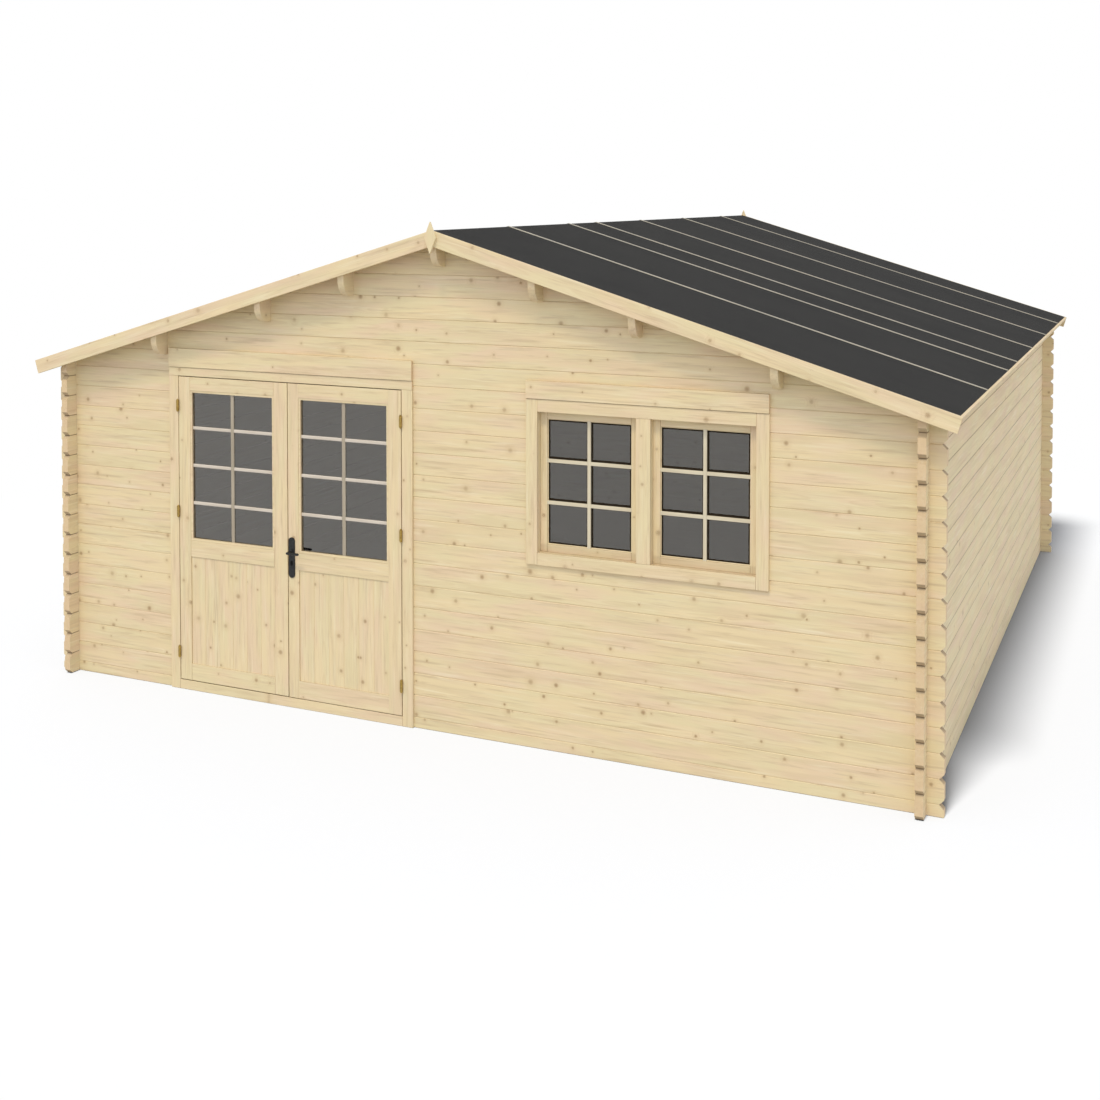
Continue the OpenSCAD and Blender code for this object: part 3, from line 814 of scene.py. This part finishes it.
def glazePane(paneNode, name, plan, levelFinish, uprightFinish):
    low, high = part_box(paneNode)
    bar, shadeStrip = plan["bar"], plan.get("shadeStrip")
    seat = low.y
    # painted shade: dark strips and a dark rim on the glass stand in for the shade beside the bars and at
    # the pane's edges
    if shadeStrip:  # dark strips between the glass and the bars, and a dark rim
        seat -= shadeStrip["rise"]
        strips = sum(barSet(low, high, low.y, shadeStrip["rise"], -1, plan, shadeStrip["arris"], shadeStrip), [])
        strips.append(beadRing("rim", low, high, -1, shadeStrip["rim"], shadeStrip["rise"], 0.0, shadeStrip["arris"]))
        fit(layGrain(joined(name + "_shade_strips", strips), (1, 0, 0)), paneNode, "black_fittings", shadeStripFinish)
    uprights, levels = barSet(low, high, seat, bar["rise"], -1, plan, bar["chamfer"])
    backUprights, backLevels = barSet(low, high, high.y, bar["rise"] / 2, 1, plan, bar["chamfer"] / 2)
    uprightBars = layGrain(joined(name + "_upright_bars", uprights + backUprights))
    fit(uprightBars, paneNode, "pine_boards", uprightFinish)
    levelBars = layGrain(joined(name + "_level_bars", levels + backLevels))
    fit(levelBars, paneNode, "pine_boards", levelFinish)
    rings = [beadRing("bead", low, high, side, **plan["bead"]) for side in (-1, 1)]
    fit(layGrain(joined(name + "_beads", rings), (1, 0, 0)), paneNode, "pine_boards", planedPine)


for sideName in ("left", "right"):
    glazePane(sideName + "_door_glass", sideName + "_door", glazing["door"], litLevelBar, shadedUprightBar)
    glazePane(sideName + "_window_glass", sideName + "_window", glazing["window"], windowBar, windowBar)
print("glazing done")


# Door furniture: rounded plates, lock cylinders, screws, collars on the spindle and knobs on the hinges

furniture = {
    "plateArris": 0.0028,
    "collarRadius": 0.0125,
    "collarRise": 0.007,
    "lockDrop": 0.072,
    "lockWide": 0.017,
    "lockTall": 0.033,
    "lockRise": 0.0022,
    "keyholeUp": 0.004,
    "keyhole": {"width": 0.003, "length": 0.012, "depth": 0.0012},
    "screwInset": 0.02,
    "screwRadius": 0.0042,
    "screwRise": 0.0016,
    "screwSlot": {"width": 0.0011, "length": 0.006, "depth": 0.0009},
    "trimSmooth": 35,
}

plates = easeEdges(mergedCopy("handle_plates", "handle_plates_rounded"), furniture["plateArris"], 3)
fit(plates, "handle_plates", "black_fittings", blackMetal, "handle_plates")

leverJoint = next(j for j in frame["joints"] if j["name"] == "lever_turn")
axisX, _, axisZ = leverJoint["pos_m"]
plateLow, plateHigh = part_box("handle_plates")
faces = {-1: plateLow.y, 1: plateHigh.y}


def roundHead(name, x, y, z, radius, rise, side):
    bpy.ops.mesh.primitive_cylinder_add(vertices=32, radius=radius, depth=rise,
                                        location=(x, y + side * rise / 2, z), rotation=(math.pi / 2, 0, 0))
    head = bpy.context.object
    head.name = name
    bpy.ops.object.transform_apply(location=True, rotation=True, scale=True)
    top = y + side * rise
    editAll(head)
    pickEdges(head, lambda a, b: near(a.y, top) and near(b.y, top))
    bpy.ops.mesh.bevel(offset=min(rise, radius) * 0.35, segments=3, affect="EDGES")
    leaveEdit()
    return head


def slotted(head, x, y, z, width, length, depth):  # a straight slot sunk in the head's face
    reach = Vector((width / 2, depth, length / 2))
    tool = block("slot", Vector((x, y, z)) - reach, Vector((x, y, z)) + reach)
    cut = head.modifiers.new("slot", "BOOLEAN")
    cut.operation = "DIFFERENCE"
    cut.solver = "EXACT"
    cut.object = tool
    applyAll(head)
    bpy.data.objects.remove(tool)
    return head


parts, locks = [], []
for side, face in faces.items():
    lockZ = axisZ - furniture["lockDrop"]
    lock = roundHead("lock", axisX, face, lockZ, furniture["lockWide"] / 2, furniture["lockRise"], side)
    editAll(lock)
    stretch = furniture["lockTall"] / furniture["lockWide"]
    bpy.ops.transform.resize(value=(1, 1, stretch), center_override=(axisX, face, lockZ))
    leaveEdit()
    lockFace = face + side * furniture["lockRise"]
    locks.append(slotted(lock, axisX, lockFace, lockZ + furniture["keyholeUp"], **furniture["keyhole"]))
    collar = furniture["collarRadius"], furniture["collarRise"]
    parts.append(roundHead("collar", axisX, face, axisZ, *collar, side))
    screwFace = face + side * furniture["screwRise"]
    for z in (plateLow.z + furniture["screwInset"], plateHigh.z - furniture["screwInset"]):
        screw = roundHead("screw", axisX, face, z, furniture["screwRadius"], furniture["screwRise"], side)
        parts.append(slotted(screw, axisX, screwFace, z, **furniture["screwSlot"]))
for name, pieces, finish in (("handle_trim", parts, blackMetal), ("handle_locks", locks, lockMetal)):
    trim = smoothed(joined(name, pieces), furniture["trimSmooth"])
    fit(trim, "handle_plates", "black_fittings", finish)


knobPlan = {"radius": 0.72, "rise": 0.9, "round": 0.55, "smooth": 40}  # shares of a radius; degrees


def hingeKnobs(name, nodeName, atTop):
    solids = mergedCopy(nodeName, "probe")
    boards, _ = separateBoards(solids.data)
    knobs = []
    for verts in boards.values():
        spots = [solids.data.vertices[i].co for i in verts]
        low = Vector(map(min, zip(*spots)))
        high = Vector(map(max, zip(*spots)))
        radius = (high.x - low.x) / 2
        rise = radius * knobPlan["rise"]
        base = high.z if atTop else low.z
        tip = base + rise if atTop else base - rise
        middle = (low.x + high.x) / 2, (low.y + high.y) / 2, (base + tip) / 2
        bpy.ops.mesh.primitive_cylinder_add(vertices=32, radius=radius * knobPlan["radius"], depth=rise,
                                            location=middle)
        knob = bpy.context.object
        bpy.ops.object.transform_apply(location=True, rotation=True, scale=True)
        editAll(knob)
        pickEdges(knob, lambda a, b: near(a.z, tip) and near(b.z, tip))
        bpy.ops.mesh.bevel(offset=radius * knobPlan["round"], segments=5, affect="EDGES")
        leaveEdit()
        knobs.append(knob)
    bpy.data.objects.remove(solids)
    made = smoothed(joined(name, knobs), knobPlan["smooth"])
    return fit(made, nodeName, "brass_hinges", brass)


hingeKnobs("frame_hinge_knobs", "frame_hinges", False)
hingeKnobs("left_door_hinge_knobs", "left_door_hinges", True)
hingeKnobs("right_door_hinge_knobs", "right_door_hinges", True)
print("door furniture done")


# Stage, light and camera

studio = {
    "floorSize": 160.0,
    "floorDrop": 0.0005,
    "floorColour": colour(0.188, 0.190, 0.1935),
    "bounceColour": colour(0.10, 0.097, 0.089),
    "fadeFrom": 4.6,
    "fadeTo": 7.5,
    "skyStrength": 1.14,
    "skyColour": colour(0.975, 1.0, 1.06),
    "sunFrom": (-0.06, -1.0, 1.85),
    "sunStrength": 1.25,
    "sunWidth": 10.0,
    "sunColour": (1.0, 0.88, 0.62),
    "floorSunFrom": (-0.02, -1.0, 1.70),
    "floorSunStrength": 14.4,
    "floorSunWidth": 13.0,
    "floorSunColour": (1.0, 1.0, 1.0),
    "lampDistance": 18.0,
}


def seenWhite(start):
    # 1 for what the camera sees, also in metal and through glass, and 0 for light on the cabin
    path = start.node("LightPath").socket.node.outputs
    kinds = "Is Camera Ray", "Is Glossy Ray", "Is Transmission Ray"
    straight, glossy, through = (Tap(start.tree, path[kind]) for kind in kinds)
    return start.sum("MINIMUM", straight + glossy + through, 1.0)


def paleFloor():
    bpy.ops.mesh.primitive_plane_add(size=studio["floorSize"], location=(0, 0, -studio["floorDrop"]))
    floor = bpy.context.object
    floor.name = "floor"
    finish, shader, start = newFinish("paleFloor")
    spot = start.node("TexCoord", out="Object")
    far = spot.node("VectorMath", {"operation": "LENGTH"}, {0: spot}, out="Value")
    white = start.node("Emission", sockets={"Color": colour(1, 1, 1), "Strength": 1.0})
    shader.inputs["Base Color"].default_value = studio["floorColour"]
    shader.inputs["Roughness"].default_value = 1.0
    shader.inputs["Specular IOR Level"].default_value = 0.0
    plain = Tap(start.tree, shader.outputs[0])
    fade = far.rise(studio["fadeFrom"], studio["fadeTo"])
    shown = start.node("MixShader", sockets={0: fade, 1: plain, 2: white})
    # the floor sends back less light than it shows, so that undersides stay in shade
    dull = start.node("BsdfDiffuse", sockets={"Color": studio["bounceColour"]})
    mixed = start.node("MixShader", sockets={0: seenWhite(start), 1: dull, 2: shown})
    output = finish.node_tree.nodes["Material Output"]
    finish.node_tree.links.new(mixed.socket, output.inputs["Surface"])
    floor.data.materials.append(finish)
    return floor


def paleSky():
    world = bpy.data.worlds.new("studio")
    bpy.context.scene.world = world
    world.use_nodes = True
    start = Tap(world.node_tree)
    backdrop = world.node_tree.nodes["Background"]
    seen = seenWhite(start)
    feed(backdrop, "Color", seen.tint(studio["skyColour"], colour(1, 1, 1)))
    feed(backdrop, "Strength", studio["skyStrength"] + seen * (1.0 - studio["skyStrength"]))


def softLight(name, comingFrom, strength, width, tone):
    bpy.ops.object.light_add(type="SUN", location=Vector(comingFrom).normalized() * studio["lampDistance"])
    lamp = bpy.context.object
    lamp.name = name
    lamp.rotation_euler = Vector(comingFrom).to_track_quat("Z", "Y").to_euler()
    lamp.data.energy = strength
    lamp.data.angle = math.radians(width)
    lamp.data.color = tone
    return lamp


photoView = {
    "place": (4.0438, -10.5354, 3.2092),
    "turnLeft": 24.059,
    "tiltDown": 2.0,
    "lens": 47.2764,
    "sensor": 36.0,
    "shift": -0.2785,
    "farthest": 400.0,
}


def photoCamera():
    bpy.ops.object.camera_add(location=photoView["place"])
    camera = bpy.context.object
    pitch = math.radians(90 - photoView["tiltDown"])
    camera.rotation_euler = (pitch, 0, math.radians(photoView["turnLeft"]))
    camera.data.lens = photoView["lens"]
    camera.data.sensor_width = photoView["sensor"]
    camera.data.shift_y = photoView["shift"]
    camera.data.clip_end = photoView["farthest"]
    bpy.context.scene.camera = camera


floor = paleFloor()
paleSky()
softLight("sun", studio["sunFrom"], studio["sunStrength"], studio["sunWidth"], studio["sunColour"])
# a second sun lights the floor alone, which turns white outside the cabin's shadow
floorSun = softLight("floorSun", studio["floorSunFrom"], studio["floorSunStrength"],
                     studio["floorSunWidth"], studio["floorSunColour"])
floorSun.light_linking.receiver_collection = bpy.data.collections.new("floorOnly")
floorSun.light_linking.receiver_collection.objects.link(floor)
photoCamera()
bpy.context.scene.view_settings.view_transform = "Standard"
print("stage, light and camera done")
